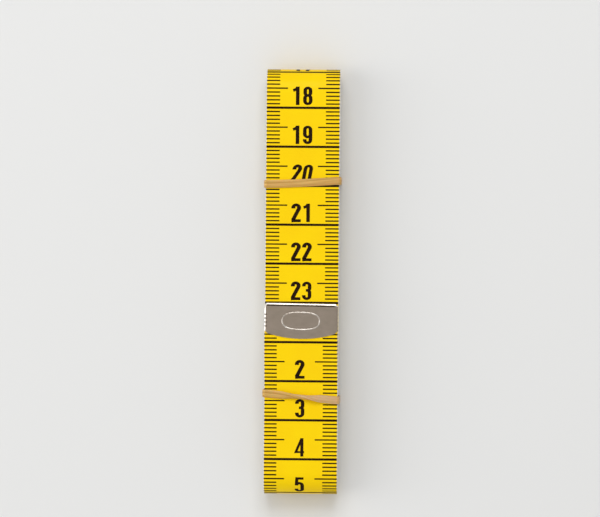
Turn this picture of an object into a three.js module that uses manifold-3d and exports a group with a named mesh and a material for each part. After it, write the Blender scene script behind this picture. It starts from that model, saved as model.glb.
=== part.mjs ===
// A cloth tape measure, wound flat into an oblong bundle and held by two rubber bands.
//
// Sizes are in millimetres. X runs across the tape, Y along the bundle and Z up through the layers.
// The bundle lies on its back, on the undersides of the bands, with its numbered face and free end up.

import * as THREE from 'three';
import { mergeVertices } from 'three/addons/utils/BufferGeometryUtils.js';
import Module from 'manifold-3d';

const wasm = await Module();
wasm.setup();

// The tape, a strip of coated cloth
const TAPE_LENGTH = 1500;
const TAPE_WIDTH = 18.8;
const TAPE_THICKNESS = 0.34;

// The winding: each loop is a run along the front, a fold, a run along the back and a fold
const LOOPS = 7;
const STEPS_PER_FOLD = 12;
const FREE_LAP = 43.3; // from the outer end of the tape to the first fold
const INNER_LAP = 43.7; // from the last fold to the inner end of the tape
const INNER_FOLD = 1.36; // diameter of the tightest fold, at the middle of the tape's thickness

// The metal tips, each a plate whose end and sides are folded round the tape and pressed flat on its back
const TIP_LENGTH = 9.1; // at the middle of the bowed mouth
const TIP_MOUTH_BOW = 1.6; // how far the mouth bows out past its corners
const TIP_CORNER = 0.65; // the cut-off corners at the end
const TIP_WALL = 0.25;
const TIP_FLANGE = 2.6; // how far the folded edges reach over the back of the tape
const TIP_PROUD = 0.05; // how far each side stands out past the edge of the tape
const TIP_CLEARANCE = 0.05; // between the plate and the tape in it
const TIP_SEAT = 0.12; // between the plate and the layer beneath it

// The rubber bands, placed from the centre of the fold at their own end of the bundle
const BAND_WIDTH = 1.9;
const BAND_THICKNESS = 0.4;
const BAND_CLEARANCE = 0.1; // between the band and the faces of the tape
const BAND_SIDE_CLEARANCE = 0.05; // between the band and the sides of the tips, which it slides past
const UPPER_BAND_FROM_FOLD = 23.7;
const UPPER_BAND_SLANT = 3; // degrees, up to the right
const LOWER_BAND_FROM_FOLD = 19.3;
const LOWER_BAND_SLANT = -5; // degrees, down to the right

// The free end, which bends up just past the lower band
const BEND_FROM_BAND = 1.2;
const BEND_SLIT = 0.3; // between the free end and the tape that the lower band holds

// Fineness of the small arcs
const ARC_SEGMENTS = 8;
const GAP_SAMPLE = 1; // spacing of the points on which the winding's gap is measured

const halfWidth = TAPE_WIDTH / 2;
const halfThickness = TAPE_THICKNESS / 2;
const tipHalfWidth = halfWidth + TIP_PROUD;
const tipHalfThickness = halfThickness + TIP_CLEARANCE + TIP_WALL;
const tipSideLength = TIP_LENGTH - TIP_MOUTH_BOW;
const bandInsideHalf = tipHalfWidth + BAND_SIDE_CLEARANCE;

// The cloth is drawn in a little where a tip grips it: places along the tape, from the end of the tip.
// The fold is pressed shut as far as the corners are cut off, and the cloth begins behind that.
const slotHalf = tipHalfWidth - TIP_WALL;
const slotStart = TIP_CORNER + TIP_WALL;
const tongueHalf = slotHalf - TIP_CLEARANCE;
const tongueStart = slotStart + TIP_CLEARANCE;
const tongueEnd = tipSideLength + TIP_WALL;
const fullWidthFrom = tongueEnd + halfWidth - tongueHalf;

// The layers lie as far apart as the tip's plate needs.
const layerGap = TIP_WALL + TIP_CLEARANCE + TIP_SEAT;
const pitch = TAPE_THICKNESS + layerGap;

// Run 0 is the free lap at the front, run 1 the outermost at the back, and so on inwards.
const folds = 2 * LOOPS;
const innermost = INNER_FOLD / 2 - pitch / 4;
const runHeight = (n) => innermost + ((folds - n) * pitch) / 2;
const foldRadius = (n) => (runHeight(n) + runHeight(n + 1)) / 2;

// The length of the runs takes up what the folds and the two end laps leave of the tape.
let foldedLength = 0;
for (let n = 0; n < folds; n += 1) {
  foldedLength += Math.PI * foldRadius(n);
}
const runLength = (TAPE_LENGTH - FREE_LAP - INNER_LAP - foldedLength) / (folds - 1);

const lowerFoldY = (foldRadius(0) - foldRadius(1) - runLength) / 2;
const upperFoldY = lowerFoldY + runLength;
const startY = lowerFoldY + FREE_LAP;
const endY = upperFoldY - INNER_LAP;
const middleZ = BAND_THICKNESS + BAND_CLEARANCE + halfThickness + runHeight(1);

const upperBandY = upperFoldY - UPPER_BAND_FROM_FOLD;
const lowerBandY = lowerFoldY + LOWER_BAND_FROM_FOLD;
const slope = (degrees) => Math.tan(THREE.MathUtils.degToRad(degrees));
const lowerBandRise = Math.abs(slope(LOWER_BAND_SLANT)) * (bandInsideHalf + BAND_THICKNESS);
const bendY = lowerBandY + BAND_WIDTH / 2 + lowerBandRise + BEND_FROM_BAND;
const bendZ = middleZ + runHeight(0) + halfThickness;

const coatedCloth = new THREE.MeshStandardMaterial({ color: 0xffd600, roughness: 0.55, metalness: 0 });
const nickelPlate = new THREE.MeshStandardMaterial({ color: 0xa39b90, roughness: 0.35, metalness: 1 });
const rubber = new THREE.MeshStandardMaterial({ color: 0xcfa86f, roughness: 0.6, metalness: 0 });

// A place on the middle of the tape's thickness, with the direction that its numbered face looks in
function station(y, z, faceAngle, half = halfWidth) {
  return { y, z, faceY: Math.cos(faceAngle), faceZ: Math.sin(faceAngle), half };
}

// The gripped end of a straight lap, from full width to the end of the cloth, when the tip ends at tipY
function tongueStations(tipY, inwards, z) {
  const front = Math.PI / 2;
  return [
    station(tipY + inwards * fullWidthFrom, z, front),
    station(tipY + inwards * tongueEnd, z, front, tongueHalf),
    station(tipY + inwards * tongueStart, z, front, tongueHalf),
  ];
}

// The winding from the lower band's side of the bend to the inner end, about the middle plane of the bundle
function windingStations() {
  const frontAngle = Math.PI / 2;
  const stations = [station(bendY - BEND_SLIT / 2, runHeight(0), frontAngle)];
  for (let n = 0; n < folds; n += 1) {
    const atFront = n % 2 === 0;
    const centreY = atFront ? lowerFoldY : upperFoldY;
    const centreZ = ((atFront ? 1 : -1) * (runHeight(n) - runHeight(n + 1))) / 2;
    for (let step = 0; step <= STEPS_PER_FOLD; step += 1) {
      const angle = frontAngle + Math.PI * (n + step / STEPS_PER_FOLD);
      const y = centreY + foldRadius(n) * Math.cos(angle);
      const z = centreZ + foldRadius(n) * Math.sin(angle);
      stations.push(station(y, z, angle));
    }
  }
  stations.push(...tongueStations(endY, 1, runHeight(folds)));
  return stations;
}

// One closed strip of tape through a list of stations
function strip(stations) {
  const corners = [
    [-1, 1],
    [1, 1],
    [1, -1],
    [-1, -1],
  ];
  const positions = [];
  for (const { y, z, faceY, faceZ, half } of stations) {
    for (const [across, through] of corners) {
      const out = through * halfThickness;
      positions.push(across * half, y + out * faceY, z + out * faceZ);
    }
  }
  const sides = corners.length;
  const index = [0, 1, 2, 0, 2, 3];
  for (let i = 0; i < stations.length - 1; i += 1) {
    for (let side = 0; side < sides; side += 1) {
      const near = i * sides + side;
      const nearNext = i * sides + ((side + 1) % sides);
      index.push(near, near + sides, nearNext + sides);
      index.push(near, nearNext + sides, nearNext);
    }
  }
  const last = (stations.length - 1) * sides;
  index.push(last, last + 2, last + 1, last, last + 3, last + 2);

  const geometry = new THREE.BufferGeometry();
  geometry.setAttribute('position', new THREE.Float32BufferAttribute(positions, 3));
  geometry.setIndex(index);
  geometry.computeVertexNormals();
  return geometry;
}

// The least gap between two layers: the distance of points on the winding from its other stretches
function leastGap(stations) {
  const stretches = [];
  let along = 0;
  for (let i = 0; i < stations.length - 1; i += 1) {
    const from = new THREE.Vector3(0, stations[i].y, stations[i].z);
    const to = new THREE.Vector3(0, stations[i + 1].y, stations[i + 1].z);
    const line = new THREE.Line3(from, to);
    stretches.push({ line, start: along, end: along + line.distance() });
    along += line.distance();
  }
  const sameStretch = 4 * pitch;
  const point = new THREE.Vector3();
  const nearest = new THREE.Vector3();
  let least = Infinity;
  for (const { line, start, end } of stretches) {
    const samples = Math.ceil((end - start) / GAP_SAMPLE);
    for (let k = 0; k <= samples; k += 1) {
      line.at(k / samples, point);
      const place = start + ((end - start) * k) / samples;
      for (const other of stretches) {
        if (other.start > place + sameStretch || other.end < place - sameStretch) {
          other.line.closestPointToPoint(point, true, nearest);
          least = Math.min(least, point.distanceTo(nearest));
        }
      }
    }
  }
  return least - TAPE_THICKNESS;
}

function toSolid(geometry) {
  geometry.deleteAttribute('normal');
  geometry.deleteAttribute('uv');
  const merged = mergeVertices(geometry);
  const vertProperties = Float32Array.from(merged.attributes.position.array);
  const triVerts = Uint32Array.from(merged.index.array);
  return new wasm.Manifold(new wasm.Mesh({ numProp: 3, vertProperties, triVerts }));
}

function toGeometry(solid) {
  const { vertProperties, triVerts } = solid.getMesh();
  const geometry = new THREE.BufferGeometry();
  geometry.setAttribute('position', new THREE.BufferAttribute(vertProperties, 3));
  geometry.setIndex(new THREE.BufferAttribute(triVerts, 1));
  geometry.computeVertexNormals();
  return geometry;
}

// Side view of a tip before it is hollowed, round at its end, which is at 0, with its mouth towards -Y
function tipSide() {
  const quarter = Math.PI / 2;
  const side = new THREE.Shape();
  side.absarc(-tipHalfThickness, 0, tipHalfThickness, quarter, -quarter, true);
  side.lineTo(-TIP_LENGTH, -tipHalfThickness);
  side.lineTo(-TIP_LENGTH, tipHalfThickness);
  side.closePath();
  return side;
}

// End view of a tip before it is hollowed, round at both sides
function tipSection() {
  const quarter = Math.PI / 2;
  const roundX = tipHalfWidth - tipHalfThickness;
  const section = new THREE.Shape();
  section.absarc(roundX, 0, tipHalfThickness, -quarter, quarter, false);
  section.absarc(-roundX, 0, tipHalfThickness, quarter, 3 * quarter, false);
  section.closePath();
  return section;
}

// Front view of a tip, with its cut-off corners and its bowed mouth
function tipOutline() {
  const quarter = Math.PI / 2;
  const cornerX = tipHalfWidth - TIP_CORNER;
  const mouthRadius = (tipHalfWidth ** 2 + TIP_MOUTH_BOW ** 2) / (2 * TIP_MOUTH_BOW);
  const mouthAngle = Math.asin(tipHalfWidth / mouthRadius);
  const outline = new THREE.Shape();
  outline.moveTo(-tipHalfWidth, -tipSideLength);
  outline.lineTo(-tipHalfWidth, -TIP_CORNER);
  outline.lineTo(-cornerX, 0);
  outline.lineTo(cornerX, 0);
  outline.lineTo(tipHalfWidth, -TIP_CORNER);
  outline.lineTo(tipHalfWidth, -tipSideLength);
  outline.absarc(0, mouthRadius - TIP_LENGTH, mouthRadius, mouthAngle - quarter, -mouthAngle - quarter, true);
  return outline;
}

function extrude(shape, depth) {
  return new THREE.ExtrudeGeometry(shape, { depth, bevelEnabled: false, curveSegments: ARC_SEGMENTS });
}

// A folded tip: its front plate is whole, and its folded edges leave the middle of the tape's back open
function tip() {
  const side = extrude(tipSide(), TAPE_WIDTH + 2 * TIP_PROUD);
  side.rotateX(Math.PI / 2);
  side.rotateZ(Math.PI / 2);
  side.translate(-tipHalfWidth, 0, 0);
  const section = extrude(tipSection(), TIP_LENGTH);
  section.rotateX(Math.PI / 2);
  const outline = extrude(tipOutline(), 2 * tipHalfThickness);
  outline.translate(0, 0, -tipHalfThickness);

  const slot = new THREE.BoxGeometry(2 * slotHalf, TIP_LENGTH, TAPE_THICKNESS + 2 * TIP_CLEARANCE);
  slot.translate(0, -TIP_LENGTH / 2 - slotStart, 0);
  const window = new THREE.BoxGeometry(2 * (tipHalfWidth - TIP_FLANGE), TIP_LENGTH, 2 * tipHalfThickness);
  window.translate(0, -TIP_LENGTH / 2 - TIP_FLANGE, -tipHalfThickness);

  const block = toSolid(side).intersect(toSolid(section)).intersect(toSolid(outline));
  return toGeometry(block.subtract(toSolid(slot)).subtract(toSolid(window)));
}

// Draws a rectangle with round corners, in front view of a band
function roundedRectangle(path, half, low, high, radius) {
  const quarter = Math.PI / 2;
  path.absarc(half - radius, low + radius, radius, -quarter, 0, false);
  path.absarc(half - radius, high - radius, radius, 0, quarter, false);
  path.absarc(radius - half, high - radius, radius, quarter, Math.PI, false);
  path.absarc(radius - half, low + radius, radius, Math.PI, 3 * quarter, false);
  path.closePath();
  return path;
}

// A flat rubber band round the bundle, over the given run at the front, stretched on a slant
function band(frontRun, slant) {
  const insideHigh = middleZ + runHeight(frontRun) + halfThickness + BAND_CLEARANCE;
  const outsideHalf = bandInsideHalf + BAND_THICKNESS;
  const outsideHigh = insideHigh + BAND_THICKNESS;
  const outsideRadius = BAND_CLEARANCE + BAND_THICKNESS;
  const loop = roundedRectangle(new THREE.Shape(), outsideHalf, 0, outsideHigh, outsideRadius);
  const inside = new THREE.Path();
  loop.holes.push(roundedRectangle(inside, bandInsideHalf, BAND_THICKNESS, insideHigh, BAND_CLEARANCE));
  const geometry = extrude(loop, BAND_WIDTH);
  geometry.rotateX(Math.PI / 2);
  geometry.translate(0, BAND_WIDTH / 2, 0);
  geometry.applyMatrix4(new THREE.Matrix4().makeShear(slope(slant), 0, 0, 0, 0, 0));
  return geometry;
}

function piece(name, geometry, material) {
  const mesh = new THREE.Mesh(geometry, material);
  mesh.name = name;
  return mesh;
}

const windingPath = windingStations();
const bundle = new THREE.Group();
bundle.position.z = middleZ;
const endTip = piece('end_tip', tip(), nickelPlate);
endTip.position.set(0, endY, runHeight(folds));
endTip.rotation.z = Math.PI;
bundle.add(piece('tape_winding', strip(windingPath), coatedCloth), endTip);

// The free end is placed from the line that it bends on, at the face of the tape.
const freeEnd = new THREE.Group();
freeEnd.position.set(0, bendY, bendZ);
const lapTongue = tongueStations(startY - bendY, -1, -halfThickness).reverse();
const lapPath = [...lapTongue, station(BEND_SLIT / 2, -halfThickness, Math.PI / 2)];
const startTip = piece('start_tip', tip(), nickelPlate);
startTip.position.set(0, startY - bendY, -halfThickness);
freeEnd.add(piece('tape_free_end', strip(lapPath), coatedCloth), startTip);

const upperBand = piece('upper_rubber_band', band(2, UPPER_BAND_SLANT), rubber);
upperBand.position.y = upperBandY;
const lowerBand = piece('lower_rubber_band', band(0, LOWER_BAND_SLANT), rubber);
lowerBand.position.y = lowerBandY;

const tapeMeasure = new THREE.Group();
tapeMeasure.add(bundle, freeEnd, upperBand, lowerBand);

console.log(`least gap of the winding to itself: ${leastGap(windingPath).toFixed(3)} mm`);
console.log(`straight runs: ${runLength.toFixed(2)} mm`);
console.log(`folds about y ${lowerFoldY.toFixed(2)} and ${upperFoldY.toFixed(2)} mm`);
console.log(`bend of the free end: y ${bendY.toFixed(3)}, z ${bendZ.toFixed(3)} mm`);
console.log(`end of the start tip: y ${startY.toFixed(2)} mm`);

export default tapeMeasure;
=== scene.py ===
"""Cloth tape measure, wound flat and held by two rubber bands: its coated cloth, print, tips and bands."""

import bisect
import math

import bmesh
import bpy
from bpy.props import FloatProperty, FloatVectorProperty, IntProperty, PointerProperty
from mathutils import Matrix, Vector


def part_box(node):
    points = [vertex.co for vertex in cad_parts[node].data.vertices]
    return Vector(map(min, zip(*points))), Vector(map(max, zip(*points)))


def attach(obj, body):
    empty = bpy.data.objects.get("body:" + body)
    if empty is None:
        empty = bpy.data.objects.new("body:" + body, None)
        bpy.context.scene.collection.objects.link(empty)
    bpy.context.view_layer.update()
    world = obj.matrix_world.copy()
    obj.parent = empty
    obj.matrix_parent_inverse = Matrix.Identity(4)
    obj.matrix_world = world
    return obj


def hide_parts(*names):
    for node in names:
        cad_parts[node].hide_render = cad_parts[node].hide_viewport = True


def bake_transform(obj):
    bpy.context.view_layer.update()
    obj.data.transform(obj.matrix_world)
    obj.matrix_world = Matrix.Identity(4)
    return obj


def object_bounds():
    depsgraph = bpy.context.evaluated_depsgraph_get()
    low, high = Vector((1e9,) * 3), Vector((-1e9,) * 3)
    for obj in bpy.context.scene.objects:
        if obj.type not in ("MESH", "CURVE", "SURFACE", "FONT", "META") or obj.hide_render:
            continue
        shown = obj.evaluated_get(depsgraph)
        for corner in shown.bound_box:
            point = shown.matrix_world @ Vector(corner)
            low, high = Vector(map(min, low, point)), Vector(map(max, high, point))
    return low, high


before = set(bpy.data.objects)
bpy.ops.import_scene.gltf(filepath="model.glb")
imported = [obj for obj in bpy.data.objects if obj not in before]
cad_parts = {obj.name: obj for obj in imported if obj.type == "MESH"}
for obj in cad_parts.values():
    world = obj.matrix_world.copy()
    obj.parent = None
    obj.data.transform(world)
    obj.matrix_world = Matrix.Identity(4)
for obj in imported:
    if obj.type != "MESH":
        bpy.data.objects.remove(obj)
CAD_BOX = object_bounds()

bl_info = {
    "name": "Cloth tape measure",
    "version": (1, 0, 0),
    "blender": (4, 5, 0),
    "location": "View3D > Sidebar > Tape measure",
    "description": "Dresses a wound sewing tape: coated cloth, printed scale, metal tips and rubber bands",
    "category": "Add Mesh",
}

MM = 0.001
CENTIMETRE = 10 * MM
LOOPS = 7  # turns of the tape in the bundle
LAST_RUN = 2 * LOOPS

# Coats of the cloth and finishes of a tip, in the order of their materials; after the satin plate, a tip's
# are painted highlight on the folds, painted shade in the crease and crimps, and painted highlight on the
# bead
YELLOW, WHITE = range(2)
SATIN, PAINTED_FOLD_HIGHLIGHT, PAINTED_CREASE_SHADE, PAINTED_BEAD_HIGHLIGHT = range(4)

# Sockets of a Mix node that blends colours: their names are shared with those that blend values
MIX_SHARE = 0
MIX_FIRST = 6
MIX_SECOND = 7
MIX_RESULT = 2

# Angles in degrees
CLOTH_SMOOTH = 30  # edges of the cloth and the print blunter than this are shaded smooth
TIP_SMOOTH = 25
BAND_SMOOTH = 60
CUT_EDGE = 50  # edges of a tip sharper than this are cut ones
ARC_STEP = 15  # spacing of the points on the arcs of a digit

# Millimetres
STROKE_STEP = 0.5  # longest step along the stroke of a digit
SAME_POINT = 0.0001  # points of a stroke closer than this are one
NEAR = 0.001  # what lies closer to a plane than this lies in it
SPARE = 1  # how far a cutter reaches past what it cuts

# Parts of the normal of a face, from -1 to 1, that tell where on a tip it lies, and so whether it keeps the
# satin plate or gets the painted highlight of the folds
FLAT = 0.97
RIGHTWARD = 0.2
ENDWARD = 0.1

MITRE_LIMIT = 0.4  # least cosine of half the turn at a corner of a stroke that is followed in full

# The tape and its winding, read from the frame
cloth_low, cloth_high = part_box("tape_winding")
lap_low, lap_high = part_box("tape_free_end")
start_tip_low, start_tip_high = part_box("start_tip")
end_tip_low, end_tip_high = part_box("end_tip")
lower_band_low, lower_band_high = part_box("lower_rubber_band")

TAPE_WIDTH = cloth_high.x - cloth_low.x
TAPE_THICKNESS = lap_high.z - lap_low.z
LAP_Z = (lap_low.z + lap_high.z) / 2
BACK_Z = cloth_low.z + TAPE_THICKNESS / 2
INNER_Z = (end_tip_low.z + end_tip_high.z) / 2
PITCH = (LAP_Z - INNER_Z) / LOOPS
MIDDLE_Z = (LAP_Z + BACK_Z - PITCH / 2) / 2
TIP_HALF_WIDTH = start_tip_high.x
TIP_HALF_THICKNESS = (start_tip_high.z - start_tip_low.z) / 2
TIP_LENGTH = start_tip_high.y - start_tip_low.y
START_Y = start_tip_high.y
END_Y = end_tip_low.y


def run_height(n):
    """How far run n lies from the bundle's middle plane. Run 0 is the free lap; even ones are in front."""
    return LAP_Z - MIDDLE_Z - n * PITCH / 2


def fold_radius(n):
    """Radius of the fold from run n to the next, at the middle of the tape's thickness."""
    return run_height(n) - PITCH / 4


LOWER_FOLD_Y = cloth_low.y + fold_radius(0) + TAPE_THICKNESS / 2
UPPER_FOLD_Y = cloth_high.y - fold_radius(1) - TAPE_THICKNESS / 2


def run_length(n):
    """Length of run n. The first and the last are the laps that carry the tips."""
    if n == 0:
        return START_Y - LOWER_FOLD_Y
    if n == LAST_RUN:
        return UPPER_FOLD_Y - END_Y
    return UPPER_FOLD_Y - LOWER_FOLD_Y


def lay_out_winding():
    """Runs and folds in order, as (start along the tape, is it a fold, its number), and the whole length."""
    stretches = []
    along = 0
    for n in range(LAST_RUN + 1):
        stretches.append((along, False, n))
        along += run_length(n)
        if n < LAST_RUN:
            stretches.append((along, True, n))
            along += math.pi * fold_radius(n)
    return stretches, along


STRETCHES, TAPE_LENGTH = lay_out_winding()
STRETCH_STARTS = [start for start, _, _ in STRETCHES]

# The free end's cloth parts from the winding's under the lower band
SEAM = START_Y - (lower_band_low.y + lower_band_high.y) / 2


def size(name, description, default):
    """A length that a user may change."""
    return FloatProperty(name=name, description=description, default=default, unit="LENGTH", precision=5)


def angle(name, description, degrees):
    """An angle that a user may change."""
    return FloatProperty(name=name, description=description, default=math.radians(degrees), subtype="ANGLE")


def count(name, description, default):
    """A number of like things that a user may change."""
    return IntProperty(name=name, description=description, default=default, min=1)


def share(name, description, default):
    """A share of a whole, from 0 to 1."""
    return FloatProperty(
        name=name, description=description, default=default, min=0, max=1, subtype="FACTOR"
    )


def lamp_power(name, description, default):
    """The power of a lamp."""
    return FloatProperty(name=name, description=description, default=default, min=0, unit="POWER")


def colour(name, description, default):
    """A colour that a user may change."""
    return FloatVectorProperty(
        name=name, description=description, default=default, size=3, subtype="COLOR", min=0, max=1
    )


def settings_group(name, kind):
    """A group of settings, described as its class is."""
    return PointerProperty(name=name, description=kind.__doc__, type=kind)


class ClothSettings(bpy.types.PropertyGroup):
    """The coated cloth"""

    edge: size("Edge", "Rounding of the cut edges", 0.06 * MM)
    row: size("Rows", "Spacing of the rows of vertices along the straight runs", 2.5 * MM)
    bend_row: size("Bend rows", "Spacing of the rows of vertices in the free end", 0.2 * MM)
    fold_rows: count("Fold rows", "Rows of vertices in each fold", 28)
    drift: size("Drift", "How far the inner turns stray to either side", 0.09 * MM)
    drift_wave: size("Drift wave", "Length of tape over which the turns stray and come back", 173 * MM)
    drift_from: size("Drift from", "Place along the tape where the straying begins", 240 * MM)
    lap_stray: size("Lap stray", "How far to the left the free end strays at its tip", 0.13 * MM)
    tuck: size("Tuck", "How far each edge is drawn in where a tip grips the cloth", 0.25 * MM)
    tuck_length: size("Tuck length", "How far from its end a tip grips the edges", 7.1 * MM)
    hem: size("Hem", "Pressed end of a tip, which holds no cloth", 0.95 * MM)
    thread: size("Thread", "Spacing of the threads in the weave", 0.42 * MM)
    yellow: colour("Yellow", "Coating of the numbered face", (1.0, 0.69, 0.0))
    deep_yellow: colour("Deep yellow", "The same coating where it lies thicker", (0.98, 0.64, 0.0))
    white: colour("White", "Coating of the back, and the cut edges", (0.83, 0.82, 0.78))
    dull_white: colour("Dull white", "Handled places of the white coating", (0.75, 0.74, 0.69))


class PrintSettings(bpy.types.PropertyGroup):
    """The printed scale"""

    printed: size("Printed", "Length of the numbered face that is printed, from the start tip", 320 * MM)
    film: size("Film", "Thickness of the ink", 0.012 * MM)
    sink: size("Sink", "How far the ink has sunk into the coating", 0.01 * MM)
    margin: size("Margin", "Bare edge beside the print", 0.03 * MM)
    line: size("Line", "Thickness of the centimetre lines", 0.59 * MM)
    tick: size("Tick", "Thickness of the millimetre ticks", 0.35 * MM)
    short_tick: size("Short tick", "Length of a millimetre tick", 3.5 * MM)
    long_tick: size("Long tick", "Length of a half-centimetre tick", 5.5 * MM)
    digit_height: size("Digit height", "Height of the digits", 4.72 * MM)
    digit_width: size("Digit width", "Width of a digit", 2.4 * MM)
    digit_pitch: size("Digit pitch", "Spacing of the digits of a number", 2.83 * MM)
    stroke: size("Stroke", "Thickness of the upright strokes of a digit", 0.93 * MM)
    thin: share("Thin strokes", "Thickness of the level strokes as a share of the upright ones", 0.72)
    lift: size("Lift", "Gap between a number and its line", 0.7 * MM)
    offset: size("Offset", "How far to the left each further digit moves a number", 0.2 * MM)
    crowding: share("Crowding", "Width left to each digit where three stand together", 0.8)
    decade_slant: angle("Decade slant", "Slant of the numbers of whole tens", 10)
    stretch: share("Stretch", "Share by which the tape has stretched since it was printed", 0.0003)
    wander: size("Wander", "How far the print strays to either side", 0.26 * MM)
    wander_wave: size("Wander wave", "Length of tape over which the print strays and comes back", 800 * MM)
    ink: colour("Ink", "Print", (0.014, 0.005, 0.001))
    thin_ink: colour("Thin ink", "Print where it lies thin", (0.023, 0.010, 0.004))


class TipSettings(bpy.types.PropertyGroup):
    """The folded metal tips"""

    wall: size("Wall", "Thickness of the plate", 0.25 * MM)
    corner: size("Corner", "Size of the cut-off corners", 0.65 * MM)
    bow: size("Bow", "How far the middle of the mouth stands out past its corners", 1.6 * MM)
    flange: size("Flange", "How far the folded edges reach over the back", 2.6 * MM)
    hem: size("Hem", "Pressed end of the fold, which holds no cloth", 0.9 * MM)
    clip: size("Clip", "Size of the cut-off corners of the mouth", 0.55 * MM)
    skew: angle("Skew", "How far the tips sit askew on the tape", 0.7)
    fold_width: size("Fold width", "How far in the rounding of a folded edge reaches", 0.6 * MM)
    fold_height: size("Fold height", "How far down the rounding of a folded edge reaches", 0.36 * MM)
    crease: size("Crease", "Radius of the crease pressed beside the end fold", 0.3 * MM)
    crease_depth: size("Crease depth", "Depth of that crease", 0.1 * MM)
    crease_start: size("Crease start", "Place of that crease from the end", 0.62 * MM)
    crimp: size("Crimp", "Radius of the crimp marks on the folded left side", 0.13 * MM)
    crimp_depth: size("Crimp depth", "Depth of the crimp marks", 0.12 * MM)
    crimp_turn: angle("Crimp turn", "Place of the crimp marks round the fold, from its top", 30)
    crimp_pitch: size("Crimp pitch", "Spacing of the crimp marks", 1.01 * MM)
    crimp_start: size("Crimp start", "Place of the first crimp mark from the end", 2.98 * MM)
    crimps: count("Crimps", "Number of crimp marks", 4)
    bead_length: size("Bead length", "Length of the plain oval bead stamped in the plate", 9.6 * MM)
    bead_width: size("Bead width", "Width of the oval", 4.4 * MM)
    bead: size("Bead", "Radius of the section of the bead", 0.22 * MM)
    bead_proud: size("Bead proud", "How far the bead stands out of the plate", 0.08 * MM)
    burr: size("Burr", "Rounding of the cut edges of the plate", 0.03 * MM)
    nickel: colour("Nickel", "Plating", (0.42, 0.345, 0.28))
    dull_nickel: colour("Dull nickel", "Plating where it is handled", (0.38, 0.315, 0.25))
    # Plating colours painted as highlight: on the end and left folds, which face the lamps, and on the bead
    bright_nickel: colour("Bright nickel", "Plating polished by wear, on folds", (0.94, 0.91, 0.86))
    worn_nickel: colour("Worn nickel", "Plating less polished, on folds and bead", (0.80, 0.76, 0.70))
    # Colours painted as shade in the crease and the crimp marks
    tarnish: colour("Tarnish", "Darkened plating in the crease", (0.10, 0.083, 0.064))
    deep_tarnish: colour("Deep tarnish", "Blackened plating in the crease", (0.04, 0.033, 0.025))


class BandSettings(bpy.types.PropertyGroup):
    """The rubber bands"""

    width: size("Width", "Width of a band", 2.0 * MM)
    thickness: size("Thickness", "Thickness of a band", 0.38 * MM)
    corner: size("Corner", "Radius at which a band turns round the edges of the bundle", 0.45 * MM)
    step: size("Step", "Spacing of the sections along a band", 0.3 * MM)
    upper_slant: angle("Upper slant", "Slant of the upper band", 3)
    lower_slant: angle("Lower slant", "Slant of the lower band", -5)
    upper_sag: size("Upper sag", "How far the middle of the upper band dips in front", 0.18 * MM)
    twist_x: size("Twist place", "Place of the half twist across the lower band", 0.1 * MM)
    twist_length: size("Twist length", "Length of the half twist", 15 * MM)
    bunching: FloatProperty(name="Bunching", description="Swelling of the rubber in the twist", default=1.2)
    grooves: count("Grooves", "Fine grooves along each face", 4)
    groove: size("Groove", "Depth of the grooves", 0.025 * MM)
    tan: colour("Tan", "Outer face of the rubber", (0.79, 0.49, 0.15))
    brown: colour("Brown", "Streaks in the outer face", (0.39, 0.19, 0.032))
    cream: colour("Cream", "Inner face of the rubber", (0.55, 0.33, 0.12))
    pale: colour("Pale", "Streaks of bloom in the inner face", (0.70, 0.46, 0.25))


class StageSettings(bpy.types.PropertyGroup):
    """The floor, the lamps and the camera"""

    floor: colour("Floor", "Floor", (0.80, 0.80, 0.79))
    floor_side: size("Floor side", "Side of the floor", 6.0)
    backdrop: share("Backdrop", "Brightness of what is seen past the floor", 0.85)
    ceiling: share("Ceiling", "Brightness of what is seen overhead, in the metal", 0.46)
    sky_behind: share("Sky behind", "Brightness of the light from behind the top of the bundle", 0.45)
    sky_ahead: share("Sky ahead", "Brightness of the light from before its foot", 0.68)
    top_lamp: lamp_power("Top lamp", "Power of the lamp past the top", 5.3)
    left_lamp: lamp_power("Left lamp", "Power of the lamp at the left", 3.9)
    lamp_side: size("Lamp side", "Width of each lamp, and height of the top lamp", 0.6)
    left_tall: size("Left lamp tall", "Height of the left lamp", 1.2)
    top_out: size("Top lamp distance", "How far past the top its lamp stands", 0.68)
    top_up: size("Top lamp up", "How high the top lamp stands", 0.98)
    left_out: size("Left lamp distance", "How far to the left its lamp stands", 0.91)
    left_up: size("Left lamp up", "How high the left lamp stands", 0.765)
    lens: FloatProperty(name="Lens", description="Focal length", default=300, min=20, unit="CAMERA")
    view_width: size("View width", "Width of the view at the numbered face", 153.85 * MM)
    view_x: size("View x", "Middle of the view across the bundle", -0.49 * MM)
    view_y: size("View y", "Middle of the view along the bundle", 5.94 * MM)
    view_side: angle("View side", "How far from the right the camera looks", 1.6)
    roll: angle("Roll", "How far the bundle leans to the right in the view", 0.46)


class TapeMeasureSettings(bpy.types.PropertyGroup):
    """All that a user would change"""

    cloth: settings_group("Cloth", ClothSettings)
    scale: settings_group("Scale", PrintSettings)
    tip: settings_group("Tips", TipSettings)
    band: settings_group("Bands", BandSettings)
    stage: settings_group("Stage", StageSettings)


def smooth_step(low, high, value):
    """0 below low, 1 above high, and an even rise between."""
    t = min(max((value - low) / (high - low), 0), 1)
    return t * t * (3 - 2 * t)


def tape_frame(along):
    """Middle of the tape's thickness at a place along it, and where its yellow face looks: (y, z, angle)."""
    start, is_fold, n = STRETCHES[max(bisect.bisect_right(STRETCH_STARTS, along) - 1, 0)]
    in_front = n % 2 == 0
    sign = 1 if in_front else -1
    if is_fold:
        radius = fold_radius(n)
        look = math.pi / 2 + math.pi * n + (along - start) / radius
        fold_y = LOWER_FOLD_Y if in_front else UPPER_FOLD_Y
        fold_z = MIDDLE_Z + sign * PITCH / 4
        return fold_y + radius * math.cos(look), fold_z + radius * math.sin(look), look
    first = UPPER_FOLD_Y if in_front else LOWER_FOLD_Y
    if n == 0:
        first = START_Y
    return first - sign * (along - start), MIDDLE_Z + sign * run_height(n), sign * math.pi / 2


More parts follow.
